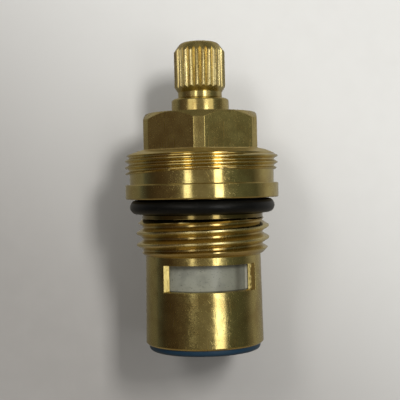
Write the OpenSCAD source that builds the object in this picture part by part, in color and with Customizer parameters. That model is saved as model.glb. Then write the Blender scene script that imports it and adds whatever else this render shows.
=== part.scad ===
// Quarter-turn ceramic disc cartridge for a tap, standing on its seal and turned off.
// +Z runs up the spindle, the origin is the centre of the seal's lower face,
// and the two outlet windows of the sleeve face along Y.

/* [Sleeve] */
// Outside diameter of the sleeve
sleeve_d = 18.2; // [17.6:0.05:18.5]
// Wall of the sleeve
sleeve_wall = 1.35; // [1.1:0.05:1.5]
// Plain sleeve between the windows and the valve thread
sleeve_margin = 1.45; // [1:0.05:3]
// Chamfer round the open end of the sleeve
sleeve_chamfer = 0.25; // [0.1:0.05:0.4]

/* [Outlet windows] */
// Angle that each window spans, between radial side walls
window_angle = 102; // [80:1:104]
// How far the moving disc reaches past a window, above and below
window_lap = 0.08; // [0.02:0.01:0.4]

/* [Valve thread] */
// Major diameter of the pipe thread, G 1/2
valve_thread_d = 20.8; // [20.6:0.01:20.95]
// Length of the pipe thread
valve_thread_len = 5.5; // [5:0.1:12]
// Chamfer at both ends of the pipe thread
valve_thread_chamfer = 0.7; // [0.3:0.05:0.9]
// Diameter of the run-out above the pipe thread
relief_d = 18.9; // [18.6:0.05:19.2]
// Height of that run-out
relief_h = 0.6; // [0.4:0.05:1.5]

/* [Body ring seat and flange] */
// Diameter of the seat under the flange that carries the body O-ring
ring_seat_d = 18.2; // [17.8:0.05:18.5]
// Cord diameter of the body O-ring
body_ring_cord = 2.25; // [2:0.05:2.4]
// Room above and below the body O-ring, both together
body_ring_room = 0.19; // [0.05:0.01:0.5]
// Diameter of the flange
flange_d = 24; // [23.5:0.05:26]
// Height of the flange
flange_h = 2.3; // [1.5:0.05:4]
// Broken edge on the flange
flange_chamfer = 0.15; // [0.05:0.05:0.4]

/* [Cover thread] */
// Major diameter of the fine thread above the flange, M24 x 1
cover_thread_d = 23.95; // [23.7:0.01:23.98]
// Length of the fine thread
cover_thread_len = 2.6; // [2:0.05:6]
// Chamfer at both ends of the fine thread
cover_thread_chamfer = 0.4; // [0.2:0.05:0.6]
// Diameter of the groove between the flange and the fine thread
groove_d = 22.6; // [22:0.05:22.8]
// Width of that groove
groove_w = 2; // [1.2:0.05:4]
// Height of the sloping shoulder under the hexagon
shoulder_h = 0.7; // [0.6:0.05:3]

/* [Hexagon] */
// Width across the flats of the hexagon
hex_af = 17.4; // [16:0.1:17.8]
// Diameter that the corners of the hexagon are turned to
hex_corner_d = 19.2; // [18.2:0.05:19.8]
// Height of the hexagon
hex_h = 5.65; // [4:0.05:9]
// Chamfer on the top corners of the hexagon
hex_chamfer = 1.05; // [0.3:0.05:1.2]
// Turn of the hexagon about the axis, against the windows
hex_turn = 19.5; // [0:0.5:59.5]

/* [Spindle] */
// Diameter of the journal, which the body's bore guides
journal_d = 9; // [8.5:0.02:9.2]
// How far the journal stands out of the hexagon
journal_rise = 2.35; // [1:0.05:4]
// Rounding on the journal's top edge
journal_round = 0.75; // [0.2:0.05:0.8]
// Diameter of the waist between journal and spline
waist_d = 6.8; // [6:0.05:7]
// Height of the waist
waist_h = 0.55; // [0.5:0.05:2]
// Height of the taper between waist and spline
taper_h = 1.3; // [0.5:0.05:2]
// Outside diameter of the spline that takes the tap handle
spline_d = 8; // [7.6:0.05:8.2]
// Number of teeth on the spline
spline_teeth = 24; // [20:2:28]
// Depth of a spline tooth
spline_depth = 0.45; // [0.3:0.05:0.55]
// Height of the full spline
spline_h = 5.35; // [4:0.05:9]
// Turn of the spline about the axis, against the windows
spline_turn = 0; // [0:0.1:15]
// Height of the cone that ends the spindle
cap_h = 1.6; // [0.8:0.05:2]
// Diameter of that cone's top edge, before it is rounded
cap_d = 5.7; // [5.3:0.05:6]
// Rounding on that edge
cap_round = 1.25; // [0.5:0.05:1.3]

/* [Handle screw hole] */
// Diameter of the tapped hole for the handle screw, M4 tapping size
screw_hole_d = 3.3; // [3:0.05:3.6]
// Depth of the tapped hole
screw_hole_depth = 12; // [8:0.5:13]
// Diameter of the countersink at its mouth
screw_sink_d = 4.3; // [3.8:0.05:4.6]

/* [Spindle foot and stop] */
// Height of the foot that drives the moving disc
foot_h = 3.6; // [3:0.1:5]
// Height of the stop lug inside the body
lug_h = 2.5; // [1.5:0.1:2.8]
// Angle that the stop lug spans
lug_angle = 24; // [15:1:40]
// How far the stop lug stands in from the bore
lug_depth = 1.4; // [0.8:0.05:1.5]
// Angle that the spindle turns from closed to open
turn_angle = 90; // [60:1:100]
// Width of the tang under the foot
tang_w = 3.6; // [2.5:0.1:4]
// Length of the tang
tang_l = 10.4; // [8:0.1:12]
// Height of the tang
tang_h = 1.8; // [1:0.1:2.4]

/* [Spindle O-rings] */
// Cord diameter of the two spindle O-rings
spindle_ring_cord = 1.5; // [1.2:0.05:1.6]
// Width of each groove in the journal
spindle_groove_w = 1.8; // [1.7:0.05:2.4]
// Distance between the two grooves, centre to centre
spindle_groove_pitch = 3.6; // [2.8:0.1:5]
// From the top of the hexagon down to the upper groove's centre
spindle_groove_drop = 4.6; // [3.5:0.1:6]

/* [Friction washer] */
// Thickness of the washer between the foot and the body
washer_h = 0.8; // [0.5:0.05:1.2]
// Gap between the washer's rim and the stop lug
washer_rim_gap = 0.35; // [0.2:0.05:0.8]

/* [Ceramic discs] */
// Thickness of the fixed disc
fixed_disc_h = 3.3; // [2.5:0.1:5]
// Thickness of the moving disc
moving_disc_h = 4.2; // [3.6:0.1:6]
// Bevel on the rims of the discs
disc_bevel = 0.2; // [0.1:0.05:0.3]
// Radius of the solid middle of the moving disc
hub_r = 3.2; // [3:0.1:3.5]
// Angle of each cut-out in the moving disc
notch_angle = 74; // [60:1:76]
// Angle of each port in the fixed disc
port_angle = 68; // [50:1:72]
// Inner radius of the ports
port_inner_r = 1.7; // [1.4:0.1:2.5]
// Outer radius of the ports
port_outer_r = 5.5; // [4.5:0.1:5.6]
// Width of the two keys that stop the fixed disc from turning
key_w = 3; // [2:0.1:4]
// How far the keys stand out of the fixed disc
key_depth = 0.55; // [0.3:0.05:0.6]

/* [Seal] */
// How far the seal stands out below the sleeve
seal_rise = 1; // [0.6:0.05:2]
// Length of the seal inside the sleeve
seal_plug_h = 5.2; // [4:0.1:8]
// Diameter of the seal's rim
seal_rim_d = 17.3; // [16.8:0.05:17.5]
// Rounding under the seal's rim
seal_round = 0.6; // [0.3:0.05:0.9]
// Diameter of the seal's bore, under the fixed disc
seal_bore_d = 11.4; // [11.2:0.1:11.8]
// Thickness of the lip between the support ring and the fixed disc
seal_lip_h = 1.1; // [0.6:0.1:2]
// Wall of the support ring
support_wall = 0.8; // [0.5:0.05:0.9]
// Step in the seal's bore that holds the support ring
support_step = 0.4; // [0.2:0.05:0.6]
// How far the support ring lies in from the seal's lower face
support_inset = 0.5; // [0.2:0.05:1.5]

/* [Fits] */
// Radial play of the journal in the body
journal_fit = 0.04; // [0.02:0.01:0.09]
// Radial play of the moving disc, the fixed disc and the foot in the sleeve
disc_fit = 0.1; // [0.05:0.01:0.15]
// Gap between each stop face and the lug at the end of the turn
stop_gap = 0.08; // [0.03:0.01:0.2]
// Side play of the tang in its slot and of the keys in their grooves
key_fit = 0.1; // [0.05:0.01:0.2]
// Gap left at rings, the washer's rim and other pieces that only lie close
ease = 0.05; // [0.02:0.01:0.08]
// Edge break on bores
bore_chamfer = 0.3; // [0.1:0.05:0.4]

/* [Hidden] */
$fn = 96;

// How far cutting shapes run past the faces that they cut
overrun = 1;

brass = [0.72, 0.58, 0.27];
bright_brass = [0.78, 0.64, 0.33];
black_rubber = [0.07, 0.07, 0.07];
blue_rubber = [0.05, 0.16, 0.30];
white_ceramic = [0.90, 0.89, 0.86];
white_plastic = [0.85, 0.85, 0.82];

// Radii
sleeve_r = sleeve_d / 2;
bore_r = sleeve_r - sleeve_wall;
disc_r = bore_r - disc_fit;
journal_r = journal_d / 2;
guide_r = journal_r + journal_fit;
ring_seat_r = ring_seat_d / 2;
flange_r = flange_d / 2;
valve_thread_r = valve_thread_d / 2;
cover_thread_r = cover_thread_d / 2;
hex_corner_r = hex_corner_d / 2;
spline_r = spline_d / 2;
spline_root_r = spline_r - spline_depth;
support_outer_r = seal_bore_d / 2 + support_step;

// Heights inside the sleeve, from the seal up
sleeve_z = seal_rise;
fixed_disc_z = sleeve_z + seal_plug_h;
moving_disc_z = fixed_disc_z + fixed_disc_h;
foot_z = moving_disc_z + moving_disc_h;
washer_z = foot_z + foot_h;
guide_z = washer_z + washer_h;

// Heights outside the body, from the windows up
window_z = moving_disc_z + window_lap;
window_top_z = foot_z - window_lap;
valve_thread_z = window_top_z + sleeve_margin;
relief_z = valve_thread_z + valve_thread_len;
ring_seat_z = relief_z + relief_h;
flange_z = ring_seat_z + body_ring_cord + body_ring_room;
groove_z = flange_z + flange_h;
cover_thread_z = groove_z + groove_w;
shoulder_z = cover_thread_z + cover_thread_len;
hex_z = shoulder_z + shoulder_h;
body_top_z = hex_z + hex_h;

// Heights up the spindle
waist_z = body_top_z + journal_rise;
taper_z = waist_z + waist_h;
spline_z = taper_z + taper_h;
cap_z = spline_z + spline_h;
top_z = cap_z + cap_h;
upper_groove_z = body_top_z - spindle_groove_drop;
lower_groove_z = upper_groove_z - spindle_groove_pitch;

// The rounding of the cap touches the cone and the flat top this far from their edge
cap_r = cap_d / 2;
cap_slope = atan((spline_r - cap_r) / cap_h);
cap_touch = cap_round * tan((90 - cap_slope) / 2);

// The spindle O-rings fill the groove between its floor and the body's bore
spindle_groove_floor_r = guide_r - ease - spindle_ring_cord;

// The stop: a lug on the body's wall runs in a recess in the rim of the foot
lug_inner_r = bore_r - lug_depth;
recess_inner_r = lug_inner_r - key_fit;
stop_gap_angle = asin(stop_gap / lug_inner_r);
recess_angle = turn_angle + lug_angle + 2 * stop_gap_angle;
lug_z = guide_z - lug_h;
recess_z = lug_z - key_fit;

// A ring of rectangular section between two radii, over part of a turn
module sector(inner_r, outer_r, h, middle, span) {
    rotate([0, 0, middle - span / 2])
        rotate_extrude(angle = span)
            translate([inner_r, 0]) square([outer_r - inner_r, h]);
}

// The same sector on both sides of the axis
module sector_pair(inner_r, outer_r, h, middle, span) {
    for (side = [0, 180]) sector(inner_r, outer_r, h, middle + side, span);
}

// A disc with bevelled rims
module bevelled_disc(r, h, bevel) {
    rotate_extrude()
        polygon([[0, 0], [r - bevel, 0], [r, bevel], [r, h - bevel], [r - bevel, h], [0, h]]);
}

// A toroidal ring lying level
module o_ring(inner_r, cord) {
    rotate_extrude() translate([inner_r + cord / 2, 0]) circle(d = cord);
}

// The cutter that breaks the edge of a bore: bore radius at the bottom, wider at z = 0
module mouth_cutter(r, chamfer) {
    translate([0, 0, -chamfer]) cylinder(r1 = r, r2 = r + chamfer + overrun, h = chamfer + overrun);
}

// The turned outside of the body, from the sleeve's end to the foot of the hexagon
module turned_outside() {
    rotate_extrude() polygon([
        [0, sleeve_z],
        [sleeve_r - sleeve_chamfer, sleeve_z],
        [sleeve_r, sleeve_z + sleeve_chamfer],
        [sleeve_r, valve_thread_z],
        [valve_thread_r - valve_thread_chamfer, valve_thread_z],
        [valve_thread_r, valve_thread_z + valve_thread_chamfer],
        [valve_thread_r, relief_z - valve_thread_chamfer],
        [valve_thread_r - valve_thread_chamfer, relief_z],
        [relief_d / 2, relief_z],
        [relief_d / 2, ring_seat_z],
        [ring_seat_r, ring_seat_z],
        [ring_seat_r, flange_z],
        [flange_r - flange_chamfer, flange_z],
        [flange_r, flange_z + flange_chamfer],
        [flange_r, groove_z - flange_chamfer],
        [flange_r - flange_chamfer, groove_z],
        [groove_d / 2, groove_z],
        [groove_d / 2, cover_thread_z],
        [cover_thread_r - cover_thread_chamfer, cover_thread_z],
        [cover_thread_r, cover_thread_z + cover_thread_chamfer],
        [cover_thread_r, shoulder_z - cover_thread_chamfer],
        [cover_thread_r - cover_thread_chamfer, shoulder_z],
        [hex_corner_r, hex_z],
        [0, hex_z]]);
}

// The hexagon, with its corners turned down and its top chamfered
module hexagon() {
    intersection() {
        translate([0, 0, hex_z]) rotate([0, 0, hex_turn]) linear_extrude(hex_h)
            circle(d = hex_af / cos(30), $fn = 6);
        rotate_extrude() polygon([
            [0, hex_z],
            [hex_corner_r, hex_z],
            [hex_corner_r, body_top_z - hex_chamfer],
            [hex_corner_r - hex_chamfer, body_top_z],
            [0, body_top_z]]);
    }
}

// Grooves along the sleeve's bore for the keys of the fixed disc
module key_grooves() {
    intersection() {
        translate([-sleeve_r, -key_w / 2 - key_fit, sleeve_z - overrun])
            cube([sleeve_d, key_w + 2 * key_fit, moving_disc_z - sleeve_z + overrun]);
        translate([0, 0, sleeve_z - overrun])
            cylinder(r = disc_r + key_depth + key_fit, h = moving_disc_z - sleeve_z + overrun);
    }
}

module cartridge_body() color(brass) {
    difference() {
        union() {
            turned_outside();
            hexagon();
        }
        translate([0, 0, sleeve_z - overrun]) cylinder(r = bore_r, h = guide_z - sleeve_z + overrun);
        translate([0, 0, guide_z - overrun]) cylinder(r = guide_r, h = body_top_z - guide_z + 2 * overrun);
        translate([0, 0, body_top_z]) mouth_cutter(guide_r, bore_chamfer);
        translate([0, 0, window_z])
            sector_pair(bore_r - overrun, sleeve_r + overrun, window_top_z - window_z, 90, window_angle);
        key_grooves();
    }
    translate([0, 0, lug_z]) intersection() {
        sector(lug_inner_r, sleeve_r - sleeve_wall / 2, lug_h + sleeve_wall / 2, 0, lug_angle);
        cylinder(r = sleeve_r, h = lug_h + sleeve_wall / 2);
    }
}

module body_o_ring() color(black_rubber)
    translate([0, 0, ring_seat_z + (flange_z - ring_seat_z) / 2]) o_ring(ring_seat_r, body_ring_cord);

// Outline of the spline teeth: sharp roots, and tips that the turned outline cuts flat
module spline_outline() {
    polygon([for (i = [0 : 2 * spline_teeth - 1])
        let (r = i % 2 == 0 ? spline_r + spline_depth / 5 : spline_root_r, a = i * 180 / spline_teeth)
            [r * cos(a), r * sin(a)]]);
}

// The toothed top of the spindle: a taper and a cone, where the teeth run out, and a rounded top
module spline() {
    intersection() {
        translate([0, 0, taper_z]) rotate([0, 0, spline_turn]) linear_extrude(top_z - taper_z)
            spline_outline();
        rotate_extrude() {
            polygon([
                [0, taper_z],
                [waist_d / 2, taper_z],
                [spline_r, spline_z],
                [spline_r, cap_z],
                [cap_r + cap_touch * sin(cap_slope), top_z - cap_touch * cos(cap_slope)],
                [cap_r - cap_touch, top_z],
                [0, top_z]]);
            translate([cap_r - cap_touch, top_z - cap_round]) circle(r = cap_round);
        }
    }
}

// The journal, with a rounded top edge and two grooves for O-rings
module journal() {
    difference() {
        rotate_extrude() {
            translate([0, washer_z]) square([journal_r, waist_z - journal_round - washer_z]);
            translate([0, washer_z]) square([journal_r - journal_round, waist_z - washer_z]);
            translate([journal_r - journal_round, waist_z - journal_round]) circle(r = journal_round);
        }
        for (z = [lower_groove_z, upper_groove_z])
            translate([0, 0, z - spindle_groove_w / 2])
                rotate_extrude() translate([spindle_groove_floor_r, 0])
                    square([journal_r - spindle_groove_floor_r + overrun, spindle_groove_w]);
    }
}

// The foot, with the recess in its rim that meets the stop lug at both ends of the turn
module foot() {
    difference() {
        translate([0, 0, foot_z]) cylinder(r = disc_r, h = foot_h);
        translate([0, 0, recess_z])
            sector(recess_inner_r, disc_r + overrun, washer_z - recess_z + overrun,
                   lug_angle / 2 + stop_gap_angle - recess_angle / 2, recess_angle);
    }
}

module spindle() color(bright_brass)
    difference() {
        union() {
            foot();
            journal();
            translate([0, 0, waist_z]) cylinder(d = waist_d, h = waist_h);
            spline();
            translate([-tang_w / 2, -tang_l / 2, foot_z - tang_h]) cube([tang_w, tang_l, tang_h]);
        }
        translate([0, 0, top_z - screw_hole_depth])
            cylinder(d = screw_hole_d, h = screw_hole_depth + overrun);
        translate([0, 0, top_z]) mouth_cutter(screw_hole_d / 2, (screw_sink_d - screw_hole_d) / 2);
    }

module spindle_o_ring(z) color(black_rubber)
    translate([0, 0, z]) o_ring(spindle_groove_floor_r, spindle_ring_cord);

module friction_washer() color(white_plastic)
    translate([0, 0, washer_z]) difference() {
        cylinder(r = lug_inner_r - washer_rim_gap, h = washer_h);
        translate([0, 0, -overrun]) cylinder(r = journal_r + ease, h = washer_h + 2 * overrun);
    }

// The disc that turns: two solid wings stand behind the windows when the tap is off
module moving_disc() color(white_ceramic)
    translate([0, 0, moving_disc_z]) difference() {
        bevelled_disc(disc_r, moving_disc_h, disc_bevel);
        translate([0, 0, -overrun])
            sector_pair(hub_r, disc_r + overrun, moving_disc_h + 2 * overrun, 0, notch_angle);
        translate([-tang_w / 2 - key_fit, -tang_l / 2 - key_fit, moving_disc_h - tang_h - key_fit])
            cube([tang_w + 2 * key_fit, tang_l + 2 * key_fit, tang_h + key_fit + overrun]);
    }

// The disc that stays: its two ports lie under the wings when the tap is off
module fixed_disc() color(white_ceramic)
    translate([0, 0, fixed_disc_z]) difference() {
        union() {
            bevelled_disc(disc_r, fixed_disc_h, disc_bevel);
            intersection() {
                translate([-sleeve_r, -key_w / 2, 0]) cube([sleeve_d, key_w, fixed_disc_h]);
                cylinder(r = disc_r + key_depth, h = fixed_disc_h);
            }
        }
        translate([0, 0, -overrun])
            sector_pair(port_inner_r, port_outer_r, fixed_disc_h + 2 * overrun, 90, port_angle);
    }

// Half the section of the seal's rim, with its lower edge rounded
module seal_rim_section() {
    intersection() {
        union() {
            square([seal_rim_d / 2 - seal_round, seal_rise]);
            translate([0, seal_round]) square([seal_rim_d / 2, seal_rise]);
            translate([seal_rim_d / 2 - seal_round, seal_round]) circle(r = seal_round);
        }
        square([seal_rim_d / 2, seal_rise]);
    }
}

// The rubber seal: a rim under the sleeve's end and a plug inside the sleeve
module seal() color(blue_rubber)
    rotate_extrude() difference() {
        union() {
            seal_rim_section();
            square([bore_r - ease, seal_rise + seal_plug_h]);
        }
        translate([-overrun, -overrun])
            square([seal_bore_d / 2 + overrun, seal_rise + seal_plug_h + 2 * overrun]);
        translate([-overrun, -overrun])
            square([support_outer_r + overrun, fixed_disc_z - seal_lip_h + overrun]);
    }

module seal_support_ring() color(white_plastic)
    translate([0, 0, support_inset]) difference() {
        cylinder(r = support_outer_r - ease, h = fixed_disc_z - seal_lip_h - support_inset);
        translate([0, 0, -overrun])
            cylinder(r = support_outer_r - support_wall, h = fixed_disc_z - seal_lip_h + overrun);
    }

cartridge_body();
body_o_ring();
spindle();
spindle_o_ring(upper_groove_z);  // spindle_o_ring_upper
spindle_o_ring(lower_groove_z);  // spindle_o_ring_lower
friction_washer();
moving_disc();
fixed_disc();
seal();
seal_support_ring();
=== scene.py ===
import math

import bmesh
import bpy
from mathutils import Matrix, Vector


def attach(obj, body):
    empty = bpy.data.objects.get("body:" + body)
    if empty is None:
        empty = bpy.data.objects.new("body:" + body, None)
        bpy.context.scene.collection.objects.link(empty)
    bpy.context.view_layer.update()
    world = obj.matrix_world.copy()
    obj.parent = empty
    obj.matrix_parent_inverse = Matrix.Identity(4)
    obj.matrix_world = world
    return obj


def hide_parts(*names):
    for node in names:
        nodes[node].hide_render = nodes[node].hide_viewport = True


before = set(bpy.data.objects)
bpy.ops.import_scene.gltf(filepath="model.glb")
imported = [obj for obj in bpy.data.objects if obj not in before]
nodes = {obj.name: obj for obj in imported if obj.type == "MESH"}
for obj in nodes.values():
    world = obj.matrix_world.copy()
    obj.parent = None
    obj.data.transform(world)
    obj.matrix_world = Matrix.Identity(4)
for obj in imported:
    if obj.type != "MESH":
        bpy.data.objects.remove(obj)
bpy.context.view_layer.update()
MM = 0.001

# Cartridge body: one piece of brass bar with sleeve, two threads, flange and
# hexagon. It is turned and bored on a lathe, the threads are cut, the hexagon
# and the two windows are milled, and it is left bare, so it is a little tarnished.
sleeve_low_r, sleeve_high_r, bore_r, sleeve_end, sleeve_edge, sleeve_blend = 9.22, 9.0, 7.75, 1.0, 0.25, 0.25
window_low, window_high, window_half, wall_end_r, wall_dish = 9.58, 13.62, 51, 8.98, 0.72
pipe_low, pipe_high, pipe_r, pipe_pitch, pipe_depth, pipe_chamfer = 15.07, 20.57, 10.4, 1.814, 1.0, 0.95
relief_r, ring_seat_low, ring_seat_r = 9.45, 21.17, 9.1
flange_low, flange_high, flange_r, flange_edge = 23.61, 25.91, 12.0, 0.15
fine_low, fine_high, fine_r, fine_pitch, fine_depth, fine_chamfer = 27.91, 30.51, 11.975, 1.0, 0.6, 0.4
pipe_start, fine_start, groove_r = 18.35, 28.57, 11.3
fin_turn, fin_drop, fin_edge = 171, 0.45, 0.3
hex_low, hex_high, hex_flat, hex_corner, hex_bevel, hex_turn = 31.21, 36.86, 8.7, 9.6, 1.05, 19.5
hex_sink, hex_sink_width, ridge_half = 0.13, 0.5, 5.0
guide_r, guide_low, guide_edge, disc_seat = 4.54, 18.1, 0.3, 9.5
lug_r, lug_low, lug_half, key_r, key_half = 6.35, 15.6, 12, 8.3, 12
body_step, body_step_gap = 2, 0.6
thread_flat, thread_round = 0.07, 0.3
pipe_crisp_r, fine_crisp_r, crisp_margin = 9.2, 11.35, 0.05


def turned(columns, missing=()):
    """A mesh from closed sections, one per turn. A point is its turn in degrees, radius and height in mm."""
    mesh = bmesh.new()
    grid = []
    for column in columns:
        grid.append([])
        for turn, r, z in column:
            a = math.radians(turn)
            grid[-1].append(mesh.verts.new((r * MM * math.cos(a), r * MM * math.sin(a), z * MM)))
    rows = len(columns[0])
    for i in range(len(columns) - 1):
        for j in range(rows):
            if (i, j) not in missing:
                k = (j + 1) % rows
                mesh.faces.new((grid[i][j], grid[i + 1][j], grid[i + 1][k], grid[i][k]))
    return mesh, grid


def finished(name, mesh, body, replaced, material, edge=0.0, angle=22.0, crisp=32.0, spare=()):
    """Welds a mesh and makes it a piece of the object.

    Edges that bend by more than the angle are broken by the width edge, in mm, but not in the spare
    spans of height outside a radius. Of the others, those that bend by more than crisp stay sharp.
    """
    bmesh.ops.remove_doubles(mesh, verts=mesh.verts, dist=3e-6)
    bmesh.ops.dissolve_degenerate(mesh, dist=1e-6, edges=mesh.edges)
    bmesh.ops.recalc_face_normals(mesh, faces=mesh.faces)
    layer = mesh.edges.layers.float.new("bevel_weight_edge")
    for face in mesh.faces:
        face.smooth = True
    for line in mesh.edges:
        if len(line.link_faces) != 2:
            continue
        bend = math.degrees(line.calc_face_angle(0))
        middle = (line.verts[0].co + line.verts[1].co) / 2
        r = math.hypot(middle.x, middle.y) / MM
        z = middle.z / MM
        kept = any(low <= z <= high and r > inner for low, high, inner in spare)
        if edge and bend > angle and not kept:
            line[layer] = 1.0
        elif bend > crisp:
            line.smooth = False
    data = bpy.data.meshes.new(name)
    mesh.to_mesh(data)
    mesh.free()
    piece = bpy.data.objects.new(name, data)
    bpy.context.scene.collection.objects.link(piece)
    if edge:
        bevel = piece.modifiers.new("broken_edges", "BEVEL")
        bevel.limit_method = "WEIGHT"
        bevel.width = edge * MM
        bevel.segments = 2
        bevel.use_clamp_overlap = False
        bevel.harden_normals = True
    data.materials.append(material)
    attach(piece, body)
    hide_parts(*replaced)


def thread_radius(crest, depth, pitch, start, turn, z):
    """Radius of a right-handed thread at a turn and height: straight flanks, rounded at crest and root."""
    phase = (z - start - pitch * (turn - 180) / 360) / pitch
    across = abs((phase + 0.5) % 1 - 0.5)
    rise = min(max((across - thread_flat) / (0.5 - 2 * thread_flat), 0), 1)
    rounded = rise * rise * (3 - 2 * rise)
    return crest - depth * ((1 - thread_round) * rise + thread_round * rounded)


def thread_rows(low, high, crest, depth, pitch, start, turn, chamfer, steps, fin=0.0):
    """Points up a thread at one turn, which follow its helix and stay inside its end chamfers.

    Where fin is 1, the lowest turn runs out past the low end.
    """
    first = math.floor((low - start - pitch) / pitch) - 1
    last = math.ceil((high - start + pitch) / pitch) + 1
    low = low - fin_drop * fin
    low_chamfer = chamfer - fin_edge * fin
    rows = []
    for k in range(first * steps, last * steps + 1):
        z = start + pitch * (turn - 180) / 360 + k * pitch / steps
        z = min(max(z, low), high)
        r = thread_radius(crest, depth, pitch, start, turn, z)
        rows.append((turn, min(r, crest - low_chamfer + z - low, crest - chamfer + high - z), z))
    return rows


def hex_radius(turn):
    """Radius of the hexagon at a turn: its flats, and the turned corners between them."""
    from_flat = (turn - hex_turn) % 60 - 30
    return min(hex_flat / math.cos(math.radians(from_flat)), hex_corner)


def sleeve_radius(z):
    """The sleeve widens a little downwards."""
    return sleeve_low_r + (sleeve_high_r - sleeve_low_r) * (z - sleeve_end) / (pipe_low - sleeve_end)


def body_column(turn, lug, keyed):
    """The body's section at one turn, up the outside and down the bore."""
    flat_r = hex_radius(turn)
    run_out = max(math.cos(math.radians(turn - fin_turn)), 0) ** 2
    fin_low = fine_low - fin_drop * run_out
    foot = hex_low - hex_sink * min((hex_corner - flat_r) / hex_sink_width, 1)
    cone = (fine_r - fine_chamfer - hex_corner) / (hex_low - fine_high)
    stop_r = lug_r if lug else bore_r
    slot_r = key_r if keyed else bore_r
    outside = [
        (sleeve_low_r - sleeve_edge, sleeve_end), (sleeve_low_r, sleeve_end + sleeve_edge),
        (sleeve_radius(window_low), window_low), (sleeve_radius(window_high), window_high),
        (sleeve_high_r, pipe_low - sleeve_blend)]
    middle = [
        (relief_r, pipe_high), (relief_r, ring_seat_low),
        (ring_seat_r, ring_seat_low), (ring_seat_r, flange_low),
        (flange_r - flange_edge, flange_low), (flange_r, flange_low + flange_edge),
        (flange_r, flange_high - flange_edge), (flange_r - flange_edge, flange_high),
        (groove_r, flange_high), (groove_r, fin_low)]
    upper = [
        (hex_corner + cone * (hex_low - foot), foot), (flat_r, foot),
        (flat_r, hex_high - hex_bevel + hex_corner - flat_r), (hex_corner - hex_bevel, hex_high),
        (guide_r + guide_edge, hex_high), (guide_r, hex_high - guide_edge), (guide_r, guide_low),
        (stop_r, guide_low), (stop_r, lug_low), (bore_r, lug_low), (bore_r, window_high),
        (bore_r, window_low), (bore_r, disc_seat), (slot_r, disc_seat), (slot_r, sleeve_end)]
    column = [(turn, r, z) for r, z in outside]
    column += thread_rows(
        pipe_low, pipe_high, pipe_r, pipe_depth, pipe_pitch, pipe_start, turn, pipe_chamfer, 16)
    column += [(turn, r, z) for r, z in middle]
    column += thread_rows(
        fine_low, fine_high, fine_r, fine_depth, fine_pitch, fine_start, turn, fine_chamfer, 12, run_out)
    column += [(turn, r, z) for r, z in upper]
    return column


window_sides = [270 - window_half, 270 + window_half, 90 - window_half, 90 + window_half]
ridge_sides = [hex_turn + 60 * k + side * ridge_half for k in range(6) for side in (-1, 1)]
edge_turns = window_sides + ridge_sides
steps = [turn for turn in range(0, 361, body_step)
         if min(abs(turn - side) for side in edge_turns) > body_step_gap]
columns = []
places = []
for turn in sorted(set(steps + edge_turns)):
    lug = turn <= lug_half or turn >= 360 - lug_half
    keyed = abs((turn + 90) % 180 - 90) <= key_half
    pair = [(lug, keyed)]
    if turn in (key_half, 180 + key_half):
        pair = [(lug, keyed), (False, False)]
    elif turn in (180 - key_half, 360 - key_half):
        pair = [(False, False), (lug, keyed)]
    for lug_here, keyed_here in pair:
        columns.append(body_column(turn, lug_here, keyed_here))
        places.append(turn)
# The windows lie between two points of the section outside, and two in the bore.
outer_row, inner_row = 2, len(columns[0]) - 5
missing = set()
for i in range(len(columns) - 1):
    middle = (places[i] + places[i + 1]) / 2
    if min(abs(middle - 90), abs(middle - 270)) < window_half:
        missing |= {(i, outer_row), (i, inner_row)}
mesh, grid = turned(columns, missing)
for i in range(len(columns) - 1):
    if (i, outer_row) in missing:
        for a, b in ((outer_row, inner_row + 1), (outer_row + 1, inner_row)):
            mesh.faces.new((grid[i][a], grid[i + 1][a], grid[i + 1][b], grid[i][b]))
        for k in (i, i + 1):
            if places[k] in window_sides:
                corners = (outer_row, outer_row + 1, inner_row, inner_row + 1)
                mesh.faces.new([grid[k][corner] for corner in corners])


class Tone:
    """A number or colour that varies over a surface: one output of a shader node, with Python's operators."""

    def __init__(self, finish, socket):
        self.finish = finish
        self.socket = socket

    def maths(self, operation, *others, swap=False):
        """One Math node on this tone and others, or the other way round."""
        pair = (*others, self) if swap else (self, *others)
        return self.finish.node("ShaderNodeMath", {"operation": operation}, dict(enumerate(pair)))

    def __add__(self, other):
        return self.maths("ADD", other)

    def __sub__(self, other):
        return self.maths("SUBTRACT", other)

    def __rsub__(self, other):
        return self.maths("SUBTRACT", other, swap=True)

    def __mul__(self, other):
        return self.maths("MULTIPLY", other)

    def __truediv__(self, other):
        return self.maths("DIVIDE", other)

    __radd__ = __add__

    def above(self, low, high):
        """0 below low, 1 above high, and smooth between them."""
        return self.finish.node(
            "ShaderNodeMapRange", {"interpolation_type": "SMOOTHSTEP"},
            {"Value": self, "From Min": low, "From Max": high})

    def between(self, low, high, soft=0.04):
        """1 from low to high, 0 outside, with soft ends."""
        return self.above(low - soft, low + soft) * (1 - self.above(high - soft, high + soft))


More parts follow.
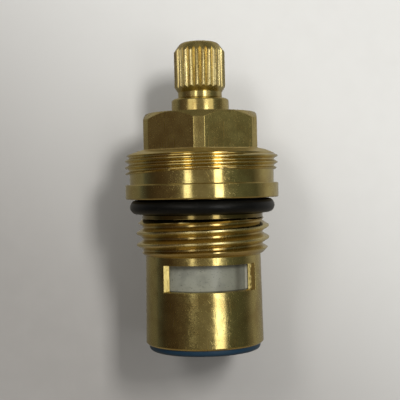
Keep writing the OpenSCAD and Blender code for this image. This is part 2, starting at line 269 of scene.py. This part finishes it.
class Finish:
    """A material, or the world, built up from nodes."""

    def __init__(self, owner):
        self.owner = owner
        owner.use_nodes = True
        self.tree = owner.node_tree

    def node(self, kind, settings=None, sockets=None, out=0):
        """Adds a node with its settings and inputs, and returns one of its outputs."""
        made = self.tree.nodes.new(kind)
        for name, value in (settings or {}).items():
            if name == "stops":
                ramp = made.color_ramp
                while len(ramp.elements) < len(value):
                    ramp.elements.new(0.5)
                for element, (position, colour) in zip(ramp.elements, value):
                    element.position = position
                    element.color = (*colour, 1)
            else:
                setattr(made, name, value)
        for name, value in (sockets or {}).items():
            self.feed(made.inputs[name], value)
        return Tone(self, made.outputs[out])

    def feed(self, socket, value):
        """Links a tone to a socket, or sets the socket to a constant."""
        if isinstance(value, Tone):
            self.tree.links.new(value.socket, socket)
        elif socket.type == "RGBA":
            socket.default_value = (*value, 1)
        else:
            socket.default_value = value

    def surface(self, **sockets):
        """Feeds the material's main shader, and returns the material."""
        shader = self.tree.nodes["Principled BSDF"]
        for name, value in sockets.items():
            self.feed(shader.inputs[name.replace("_", " ")], value)
        return self.owner

    def mix(self, mask, first, second):
        return self.node("ShaderNodeMix", {"data_type": "RGBA"}, {0: mask, 6: first, 7: second}, out=2)

    def place(self, *scale):
        """Where a point of the object is, in mm, stretched along each axis."""
        spot = self.node("ShaderNodeTexCoord", out="Object")
        return self.node(
            "ShaderNodeVectorMath", {"operation": "MULTIPLY"},
            {0: spot, 1: tuple(s / MM for s in scale)})

    def part(self, spot, axis):
        return self.node("ShaderNodeSeparateXYZ", None, {"Vector": spot}, out=axis)

    def length(self, spot):
        return self.node("ShaderNodeVectorMath", {"operation": "LENGTH"}, {0: spot}, out="Value")

    def noise(self, spot, scale=1.0, detail=2.0, rough=0.5):
        return self.node(
            "ShaderNodeTexNoise", None,
            {"Vector": spot, "Scale": scale, "Detail": detail, "Roughness": rough})

    def relief(self, height):
        """Normals from a height in mm."""
        return self.node("ShaderNodeBump", None, {"Height": height, "Distance": MM})


def streaks(finish, lean, fine, long, low, high):
    """Marks drawn out along a line that leans from the upright by an angle in degrees."""
    spot = finish.node(
        "ShaderNodeVectorRotate", {"rotation_type": "Y_AXIS"},
        {"Vector": finish.place(1, 1, 1), "Angle": math.radians(lean)})
    drawn = finish.node("ShaderNodeVectorMath", {"operation": "MULTIPLY"}, {0: spot, 1: (fine, fine, long)})
    return finish.noise(drawn, 1.0, 2.0, 0.6).above(low, high)


def brass(finish, base, stain, blotch, worn, wave):
    """Bare turned brass with patches of tarnish, specks and turning marks.

    It is rougher and more marked where worn is near 1. Wave is the depth of its slow waves in mm.
    """
    spot = finish.place(1, 1, 1)
    patches = finish.noise(spot, 0.42, 4.0, 0.6).above(0.40, 0.66)
    specks = finish.noise(spot, 4.6, 2.0, 0.6).above(0.65, 0.72)
    # Painted glints: sparse specks of paler brass.
    pale = finish.noise(spot, 5.5, 1.0).above(0.77, 0.83)
    marks = streaks(finish, 0, 2.6, 0.35, 0.60, 0.68) * worn
    scratches = streaks(finish, 38, 9.0, 0.30, 0.66, 0.69) + streaks(finish, -52, 8.0, 0.35, 0.68, 0.71)
    tone = finish.mix(patches * blotch, base, stain)
    tone = finish.mix(specks * (0.3 + worn * 0.4), tone, tuple(0.22 * c for c in stain))
    tone = finish.mix(marks * 0.35, tone, tuple(0.45 * c for c in stain))
    tone = finish.mix(pale * 0.35, tone, (0.85, 0.74, 0.42))
    smudge = finish.noise(spot, 0.9, 3.0).above(0.35, 0.75)
    rough = 0.11 + smudge * 0.06 + worn * 0.06 + marks * 0.1 + specks * 0.2 + scratches * 0.12
    rings = finish.noise(finish.place(0.25, 0.25, 7), 1.0, 3.0, 0.6)
    grain = finish.noise(spot, 3.2, 3.0, 0.6)
    waves = finish.noise(finish.place(1, 1, 0.55), 0.6, 2.0)
    height = rings * (worn * 0.0022 + 0.0010) + grain * (worn * 0.0008 + 0.0004) - scratches * 0.0015
    height = height - marks * 0.002
    height = height + waves * wave
    return tone, rough, height


body_finish = Finish(bpy.data.materials.new("body_brass"))
spot = body_finish.place(1, 1, 1)
up = body_finish.part(spot, "Z")
from_axis = body_finish.length(body_finish.place(1, 1, 0))
on_sleeve = 1 - up.above(pipe_low - 0.1, pipe_low + 0.1)
on_hexagon = up.above(hex_low - 0.2, hex_low)
on_cone = up.between(fine_high, hex_low + 0.03, 0.06)
in_pipe_thread = up.between(pipe_low, pipe_high, 0.1)
in_fine_thread = up.between(fine_low, fine_high, 0.1)
on_crests = in_pipe_thread * from_axis.above(pipe_r - 0.2, pipe_r - 0.05)
tone, rough, height = brass(
    body_finish, (0.66, 0.53, 0.20), (0.47, 0.33, 0.11), 0.6,
    on_sleeve * 0.9 + on_hexagon * 1.2 + in_pipe_thread * 0.5, on_sleeve * 0.022 + 0.003)
# Painted sheen: the threads and the cone are painted paler.
painted_sheen = in_fine_thread * 0.35 + in_pipe_thread * 0.35 + on_cone * 0.8
tone = body_finish.mix(painted_sheen, tone, (0.95, 0.80, 0.42))
# Painted glint: the crests of the pipe thread are painted paler.
tone = body_finish.mix(on_crests * 0.35, tone, (1.0, 0.86, 0.46))
# Painted shade: the roots of the pipe thread are darker.
painted_root_shade = in_pipe_thread * (1 - from_axis.above(pipe_r - 0.85, pipe_r - 0.45))
# Painted shadow of the O-ring: the band under it is painted much darker.
painted_ring_shadow = up.between(pipe_high, flange_low, 0.05)
tone = body_finish.mix(painted_root_shade * 0.5, tone, (0.40, 0.26, 0.07))
tone = body_finish.mix(painted_ring_shadow * 0.9, tone, (0.17, 0.12, 0.04))
window_walls = up.between(window_low, window_high, 0.02) * from_axis.between(bore_r + 0.04, wall_end_r, 0.02)
milled = body_finish.noise(body_finish.place(3, 3, 1), 2.0, 3.0)
fresh = body_finish.mix(milled.above(0.45, 0.6), (0.62, 0.50, 0.19), (0.50, 0.39, 0.13))
torn = body_finish.part(spot, "X").above(0, 1) * (from_axis + milled * 1.2).above(8.75, 8.95)
tone = body_finish.mix(window_walls, tone, body_finish.mix(torn, fresh, (0.14, 0.09, 0.025)))
rough = rough + window_walls * 0.12 + on_cone * 0.3 + on_crests * 0.12
scoop = window_walls * (wall_end_r - from_axis) * wall_dish
body_brass = body_finish.surface(
    Base_Color=tone, Metallic=1.0, Roughness=rough, Normal=body_finish.relief(height + scoop))
threads = (
    (pipe_low - crisp_margin, pipe_high - crisp_margin, pipe_crisp_r),
    (fine_low - fin_drop - crisp_margin, fine_high + crisp_margin, fine_crisp_r))
finished("cartridge_body_turned", mesh, "housing", ["cartridge_body"], body_brass,
         edge=0.05, spare=threads)

# Body O-ring: black rubber, moulded in a tool of two halves, slipped over the
# pipe thread into the seat under the flange.
ring_cord, ring_z = 2.25, 22.39
ring_turns, ring_points = 96, 28
columns = []
for i in range(ring_turns + 1):
    section = []
    for j in range(ring_points):
        a = 2 * math.pi * j / ring_points
        r = ring_seat_r + ring_cord / 2 * (1 + math.cos(a))
        section.append((360 * i / ring_turns, r, ring_z + ring_cord / 2 * math.sin(a)))
    columns.append(section)
rubber = Finish(bpy.data.materials.new("black_rubber"))
spot = rubber.place(1, 1, 1)
dust = rubber.noise(spot, 3.0, 3.0, 0.65).above(0.55, 0.8)
black_rubber = rubber.surface(
    Base_Color=rubber.mix(dust * 0.4, (0.0035, 0.0035, 0.0032), (0.03, 0.03, 0.028)),
    Roughness=0.34 + dust * 0.25,
    Specular_IOR_Level=0.24,
    Normal=rubber.relief(rubber.noise(spot, 6.0, 3.0) * 0.010))
finished("body_o_ring_moulded", turned(columns)[0], "housing", ["body_o_ring"], black_rubber)

# Spindle: brass, turned, with a rolled 24-tooth spline for the handle, two
# grooves for its O-rings, and a foot with a tang that drives the moving disc.
teeth, tooth_r, root_r, tooth_turn, crest_half = 24, 4.0, 3.55, 0.0, 0.28
journal_r, journal_top, journal_round, journal_drop = 4.5, 39.21, 0.75, 0.5
neck_r, undercut_r, undercut_h = 3.45, 3.34, 0.1
taper_low, taper_high, cap_low, top, cap_r, cap_round = 40.15, 41.06, 46.41, 48.01, 2.85, 1.25
run_out_top, run_out_left = 41.7, 0.4
foot_r, foot_low, foot_high, recess_low, recess_r = 7.65, 13.7, 17.3, 15.5, 6.25
recess_from, recess_to = 257.28, 12.72
ring_floor, ring_middles, ring_half = 2.99, (28.66, 32.26), 0.9
hole_r, hole_depth, sink_r = 1.65, 12.0, 2.15
tooth_shares = (0, 0.08, 0.16, 0.25, 0.34, 0.42, 0.5, 0.58, 0.66, 0.75, 0.84, 0.92)
tooth_gap = 0.3
crisp_low, crisp_high, crisp_r = 0.1, 0.9, 3.0
tang_x, tang_y, tang_low, tang_lap = 1.8, 5.2, 11.9, 0.05
cap_slope = math.degrees(math.atan((tooth_r - cap_r) / (top - cap_low)))
cap_touch = cap_round * math.tan(math.radians(90 - cap_slope) / 2)


def rounding(middle_r, middle_z, round_r, round_z, low, high):
    """Points round an edge, about a middle, from one angle in degrees to another."""
    points = []
    for k in range(7):
        a = math.radians(low + (high - low) * k / 6)
        points.append((middle_r + round_r * math.cos(a), middle_z + round_z * math.sin(a)))
    return points


def tooth_radius(turn):
    """A rounded crest and a narrow valley."""
    across = abs(((turn - tooth_turn) * teeth / 360 + 0.5) % 1 - 0.5)
    rise = across * across / (2 * crest_half) if across < crest_half else across - crest_half / 2
    return tooth_r - (tooth_r - root_r) * rise / (0.5 - crest_half / 2)


def spindle_column(turn, recessed):
    """The spindle's section at one turn, from the middle of its foot up to the screw hole."""
    r = tooth_radius(turn)
    r_foot = recess_r if recessed else foot_r
    section = [
        (0, foot_low), (foot_r, foot_low), (foot_r, recess_low),
        (r_foot, recess_low), (r_foot, foot_high), (journal_r, foot_high)]
    for z in ring_middles:
        section += [
            (journal_r, z - ring_half), (ring_floor, z - ring_half),
            (ring_floor, z + ring_half), (journal_r, z + ring_half)]
    section += rounding(
        journal_r - journal_round, journal_top - journal_drop, journal_round, journal_drop, 0, 90)
    shallow_r = tooth_r - (tooth_r - r) * run_out_left
    low = taper_low + (taper_high - taper_low) * (shallow_r - neck_r) / (tooth_r - neck_r)
    high = top - (top - cap_low) * (r - cap_r) / (tooth_r - cap_r)
    section += [
        (undercut_r, journal_top), (undercut_r, journal_top + undercut_h),
        (neck_r, journal_top + undercut_h), (neck_r, taper_low), (shallow_r, low),
        (r, run_out_top), (r, high)]
    section += rounding(cap_r - cap_touch, top - cap_round, cap_round, cap_round, cap_slope, 90)
    section += [
        (sink_r, top), (hole_r, top - sink_r + hole_r),
        (hole_r, top - hole_depth), (0, top - hole_depth)]
    return [(turn, a, b) for a, b in section]


turns = [0, 360, recess_from, recess_to]
for k in range(teeth + 1):
    for share in tooth_shares:
        turn = tooth_turn + (k + share) * 360 / teeth
        if 0 < turn < 360 and min(abs(turn - recess_from), abs(turn - recess_to)) > tooth_gap:
            turns.append(turn)
columns = []
for turn in sorted(turns):
    inside = turn < recess_to or turn > recess_from
    for recessed in {recess_to: (True, False), recess_from: (False, True)}.get(turn, (inside,)):
        columns.append(spindle_column(turn, recessed))
mesh = turned(columns)[0]
tang = []
for z in (tang_low, foot_low + tang_lap):
    for x, y in ((-1, -1), (1, -1), (1, 1), (-1, 1)):
        tang.append(mesh.verts.new((x * tang_x * MM, y * tang_y * MM, z * MM)))
mesh.faces.new(tang[:4])
for k in range(4):
    mesh.faces.new((tang[k], tang[(k + 1) % 4], tang[(k + 1) % 4 + 4], tang[k + 4]))
spindle_finish = Finish(bpy.data.materials.new("spindle_brass"))
up = spindle_finish.part(spindle_finish.place(1, 1, 1), "Z")
on_spline = up.above(taper_low, taper_high)
tone, rough, height = brass(
    spindle_finish, (0.70, 0.57, 0.23), (0.50, 0.34, 0.11), 0.7, on_spline * 0.5 + 0.5, 0.004)
rolled = on_spline * (1 - up.above(cap_low, cap_low + 0.6))
tone = spindle_finish.mix(rolled * 0.45, tone, (0.98, 0.85, 0.46))
spindle_brass = spindle_finish.surface(
    Base_Color=tone, Metallic=1.0, Roughness=rough + on_spline * 0.08,
    Normal=spindle_finish.relief(height))
spline_span = (taper_low - crisp_low, cap_low + crisp_high, crisp_r)
finished("spindle_turned", mesh, "spindle_set", ["spindle"], spindle_brass,
         edge=0.04, angle=28, crisp=17.0, spare=(spline_span,))

# Moving disc: white ceramic, pressed, fired and ground. Its two wings stand
# behind the windows when the tap is off.
disc_r, disc_low, disc_high, disc_bevel, hub_r, notch_half = 7.65, 9.5, 13.7, 0.2, 3.2, 37
disc_step = 3


def disc_column(turn, notched):
    """The disc's section at one turn: a wing, or the waist between the wings."""
    r = hub_r if notched else disc_r
    section = [
        (0, disc_low), (r - disc_bevel, disc_low), (r, disc_low + disc_bevel),
        (r, disc_high - disc_bevel), (r - disc_bevel, disc_high), (0, disc_high)]
    return [(turn, a, b) for a, b in section]


columns = []
leaving = (notch_half, 180 + notch_half)
entering = (180 - notch_half, 360 - notch_half)
for turn in range(0, 361):
    if turn % disc_step == 0 or turn in leaving + entering:
        inside = abs((turn + 90) % 180 - 90) < notch_half
        sides = (inside,)
        if turn in leaving:
            sides = (True, False)
        elif turn in entering:
            sides = (False, True)
        for notched in sides:
            columns.append(disc_column(turn, notched))
ceramic = Finish(bpy.data.materials.new("white_ceramic"))
spot = ceramic.place(1, 1, 1)
grey = ceramic.noise(spot, 0.6, 3.0).above(0.4, 0.7)
specks = ceramic.noise(spot, 4.2, 2.0, 0.7).above(0.62, 0.69)
sideways = ceramic.part(spot, "X")
# Painted shade: a darker band across the right part of the disc.
painted_shade_band = sideways.between(3.8, 4.7, 0.5) * 0.8
# Painted shade: the disc is painted darker towards its right side.
tone = ceramic.mix(sideways.above(-4, 5), (0.28, 0.28, 0.225), (0.20, 0.20, 0.155))
tone = ceramic.mix(grey * 0.5, tone, (0.14, 0.14, 0.115))
# Painted highlight: a paler strip at the edge beside the window wall.
tone = ceramic.mix(sideways.above(5.4, 5.7), tone, (0.42, 0.41, 0.34))
tone = ceramic.mix(painted_shade_band, tone, (0.10, 0.095, 0.07))
white_ceramic = ceramic.surface(
    Base_Color=ceramic.mix(specks * 0.7, tone, (0.04, 0.04, 0.03)),
    Roughness=0.30 + grey * 0.12,
    Normal=ceramic.relief(ceramic.noise(ceramic.place(1, 1, 4), 1.5, 3.0) * 0.003))
finished("moving_disc_ground", turned(columns)[0], "spindle_set", ["moving_disc"],
         white_ceramic, edge=0.04)

# Fixed disc: the same ceramic, held under the moving disc by two keys in the
# sleeve. Only a rim of it can be seen, so it keeps the shape of the frame.


def dress(material, *names):
    """Gives a material to nodes of the frame that stay as they are."""
    for name in names:
        nodes[name].data.materials.clear()
        nodes[name].data.materials.append(material)


dress(white_ceramic, "fixed_disc")

# Seal: blue rubber, moulded, pushed into the open end of the sleeve. Its rim
# stands out below, where it meets the seat of the tap.
seal_rim_r, seal_round, seal_rise, seal_plug_r, seal_top = 8.72, 0.6, 1.0, 7.7, 6.2
seal_bore_r, seal_step_r, seal_step_z, seal_step = 5.7, 6.1, 5.1, 3
section = [
    (seal_bore_r, seal_top), (seal_bore_r, seal_step_z), (seal_step_r, seal_step_z), (seal_step_r, 0)]
section += rounding(seal_rim_r - seal_round, seal_round, seal_round, seal_round, -90, 0)
section += [(seal_rim_r, seal_rise), (seal_plug_r, seal_rise), (seal_plug_r, seal_top)]
columns = [[(turn, a, b) for a, b in section] for turn in range(0, 361, seal_step)]
blue = Finish(bpy.data.materials.new("blue_rubber"))
spot = blue.place(1, 1, 1)
dust = blue.noise(spot, 2.0, 3.0, 0.6).above(0.5, 0.75)
blue_rubber = blue.surface(
    Base_Color=blue.mix(dust * 0.4, (0.008, 0.032, 0.060), (0.02, 0.045, 0.065)),
    Roughness=0.45 + dust * 0.2,
    Normal=blue.relief(blue.noise(spot, 5.0, 2.0) * 0.005))
finished("seal_moulded", turned(columns)[0], "housing", ["seal"], blue_rubber, edge=0.05)

# Friction washer, on the spindle's foot, and support ring, in the seal's bore:
# white plastic, moulded. They keep the shape of the frame, as they hardly show.
plastic = Finish(bpy.data.materials.new("white_plastic"))
spot = plastic.place(1, 1, 1)
soft = plastic.noise(spot, 1.5, 2.0)
white_plastic = plastic.surface(
    Base_Color=plastic.mix(soft, (0.62, 0.62, 0.58), (0.70, 0.70, 0.66)),
    Roughness=0.4 + soft * 0.2,
    Normal=plastic.relief(plastic.noise(spot, 6.0, 2.0) * 0.004))
dress(white_plastic, "friction_washer", "seal_support_ring")

# Spindle O-rings: the same black rubber, in the two grooves of the journal,
# where they seal it in the body's bore. They keep the shape of the frame.
dress(black_rubber, "spindle_o_ring_upper", "spindle_o_ring_lower")

# Paper: the pale sheet that the cartridge lies on, behind it as the photograph
# is taken. It fades out towards its edges and isn't seen from behind.
view_turn = -9.0
paper_y, paper_x, paper_low, paper_high = 0.0125, 0.2, -0.14, 0.19
paper_mesh = bmesh.new()
for x, z in ((-paper_x, paper_low), (paper_x, paper_low), (paper_x, paper_high), (-paper_x, paper_high)):
    paper_mesh.verts.new((x, paper_y, z))
paper_mesh.faces.new(paper_mesh.verts)
data = bpy.data.meshes.new("paper")
paper_mesh.to_mesh(data)
paper_mesh.free()
paper = bpy.data.objects.new("paper", data)
paper.matrix_world = Matrix.Rotation(math.radians(view_turn), 4, "Z")
paper.visible_glossy = False
paper.visible_diffuse = False
bpy.context.scene.collection.objects.link(paper)
sheet = Finish(bpy.data.materials.new("paper"))
far = sheet.length(sheet.node("ShaderNodeTexCoord", out="Object"))
behind = sheet.node("ShaderNodeNewGeometry", out="Backfacing")
spot = sheet.place(1, 1, 1)
# Painted light fall-off: the paper is painted darker towards the lower left.
nearer_lamp = (sheet.part(spot, "Z") + sheet.part(spot, "X") * 0.9).above(-30, 66)
fibres = sheet.noise(spot, 0.25, 4.0, 0.6)
shade = sheet.mix(nearer_lamp, (0.40, 0.38, 0.355), (0.83, 0.82, 0.785))
shade = sheet.mix(fibres.above(0.3, 0.8) * 0.08, shade, (0.62, 0.60, 0.56))
data.materials.append(sheet.surface(
    Base_Color=shade, Roughness=0.9, Alpha=(1 - far.above(0.07, 0.13)) * (1 - behind)))

# Light: a dim room, brighter overhead and behind, and soft lamps in front. The
# tall ones draw two bright lines down every turned surface, and two small ones
# only cast the soft shadows on the paper.
world = bpy.data.worlds.new("room")
bpy.context.scene.world = world
room = Finish(world)
way = room.node("ShaderNodeTexCoord", out="Generated")
turned_way = room.node(
    "ShaderNodeVectorRotate", {"rotation_type": "Z_AXIS"}, {"Vector": way, "Angle": math.radians(-view_turn)})
across = room.part(turned_way, "X")
along = room.part(turned_way, "Y")
upward = room.part(turned_way, "Z")
round_room = across.maths("ARCTAN2", along * -1) / (2 * math.pi) + 0.5
walls = room.node("ShaderNodeValToRGB", {"stops": [
    (0.000, (0.28, 0.27, 0.25)), (0.050, (0.20, 0.19, 0.16)), (0.150, (0.18, 0.17, 0.14)),
    (0.200, (0.17, 0.17, 0.155)), (0.222, (0.085, 0.095, 0.10)), (0.255, (0.048, 0.044, 0.040)),
    (0.305, (0.060, 0.044, 0.034)), (0.390, (0.10, 0.082, 0.068)), (0.440, (0.22, 0.21, 0.17)),
    (0.500, (0.20, 0.185, 0.16)), (0.590, (0.24, 0.24, 0.20)), (0.628, (0.11, 0.125, 0.10)),
    (0.745, (0.08, 0.085, 0.07)), (0.790, (0.25, 0.24, 0.22)), (0.815, (0.37, 0.36, 0.33)),
    (1.000, (0.34, 0.33, 0.30))]}, {"Fac": round_room})
downward = upward * -1
overhead = upward.above(0.25, 0.75)
below = downward.above(0.25, 0.75)
low_left = round_room.between(0.40, 0.47, 0.02) * 0.4
walls = room.mix(downward.above(0.03, 0.12) * (low_left + 0.3), walls, (0.02, 0.013, 0.006))
walls = room.mix(upward.above(0.01, 0.08) * 0.17, walls, (0.30, 0.27, 0.23))
high_left = upward.above(0.01, 0.06) * round_room.between(0.28, 0.41, 0.02)
walls = room.mix(high_left * 0.3, walls, (0.14, 0.11, 0.09))
beside_lamps = round_room.between(0.36, 0.455, 0.012) + round_room.between(0.545, 0.65, 0.012)
walls = room.mix(upward.above(0.10, 0.13) * beside_lamps, walls, (0.95, 0.88, 0.72))
above = room.mix(along.above(0.15, 0.75), (0.12, 0.115, 0.09), (0.42, 0.40, 0.34))
seen = room.mix(overhead * 0.8, room.mix(below, walls, (0.22, 0.18, 0.12)), above)
camera_ray = room.node("ShaderNodeLightPath", out="Is Camera Ray")
glossy_ray = room.node("ShaderNodeLightPath", out="Is Glossy Ray")
bright_side = room.node(
    "ShaderNodeVectorMath", {"operation": "DOT_PRODUCT"},
    {0: turned_way, 1: (0.50, -0.66, 0.56)}, out="Value")
soft_light = room.mix(bright_side.above(-0.3, 1.0), (0.10, 0.10, 0.10), (0.26, 0.26, 0.255))
soft_light = room.mix(along.above(0.05, 0.5), soft_light, (0.85, 0.85, 0.83))
colour = room.mix(glossy_ray, soft_light, seen)
colour = room.mix(camera_ray, colour, (0.70, 0.70, 0.68))
background = world.node_tree.nodes["Background"]
room.feed(background.inputs["Color"], colour)


lamp_distance, shadow_aim = 0.35, 0.025


def soft_lamp(name, turn, middle, width, height, glow, mirrored=True):
    """A soft lamp at a turn from the camera's side, aimed at the axis.

    One that isn't mirrored casts shadows only, and is aimed at the middle of the cartridge.
    """
    data = bpy.data.lights.new(name, "AREA")
    data.shape = "RECTANGLE"
    data.size = width
    data.size_y = height
    data.energy = glow * math.pi * width * height
    lamp = bpy.data.objects.new(name, data)
    a = math.radians(view_turn + turn)
    spot = Vector((lamp_distance * math.sin(a), -lamp_distance * math.cos(a), middle))
    aim_z = middle if mirrored else shadow_aim
    facing = (spot - Vector((0, 0, aim_z))).to_track_quat("Z", "Y")
    lamp.matrix_world = Matrix.Translation(spot) @ facing.to_matrix().to_4x4()
    lamp.visible_glossy = mirrored
    bpy.context.scene.collection.objects.link(lamp)


soft_lamp("lamp_left", -21, 0.057, 0.060, 0.122, 1.8)
soft_lamp("lamp_right", 25, 0.050, 0.070, 0.14, 3.2)
soft_lamp("lamp_right_low", 30, -0.045, 0.125, 0.05, 2.6)
soft_lamp("shadow_lamp_left", -26, 0.19, 0.09, 0.12, 9.0, mirrored=False)
soft_lamp("shadow_lamp_right", 24, 0.16, 0.06, 0.10, 41.0, mirrored=False)

# Camera: as the photograph was taken, level with the flange and from close by,
# with its small yaw, pitch and roll in radians.
distance, height, focal, frame_width, sensor = 0.14817, 0.02534, 941.9, 400, 36
yaw, pitch, roll = 0.0023, -0.0137, -0.021
camera_data = bpy.data.cameras.new("camera")
camera_data.sensor_width = sensor
camera_data.lens = focal * sensor / frame_width
camera_data.clip_start = 0.005
camera = bpy.data.objects.new("camera", camera_data)
a = math.radians(view_turn)
stand = Matrix.Translation((distance * math.sin(a), -distance * math.cos(a), height))
aim = Matrix.Rotation(a + yaw, 4, "Z") @ Matrix.Rotation(math.pi / 2 + pitch, 4, "X")
camera.matrix_world = stand @ aim @ Matrix.Rotation(roll, 4, "Z")
bpy.context.scene.collection.objects.link(camera)
bpy.context.scene.camera = camera
bpy.context.scene.view_settings.view_transform = "Standard"
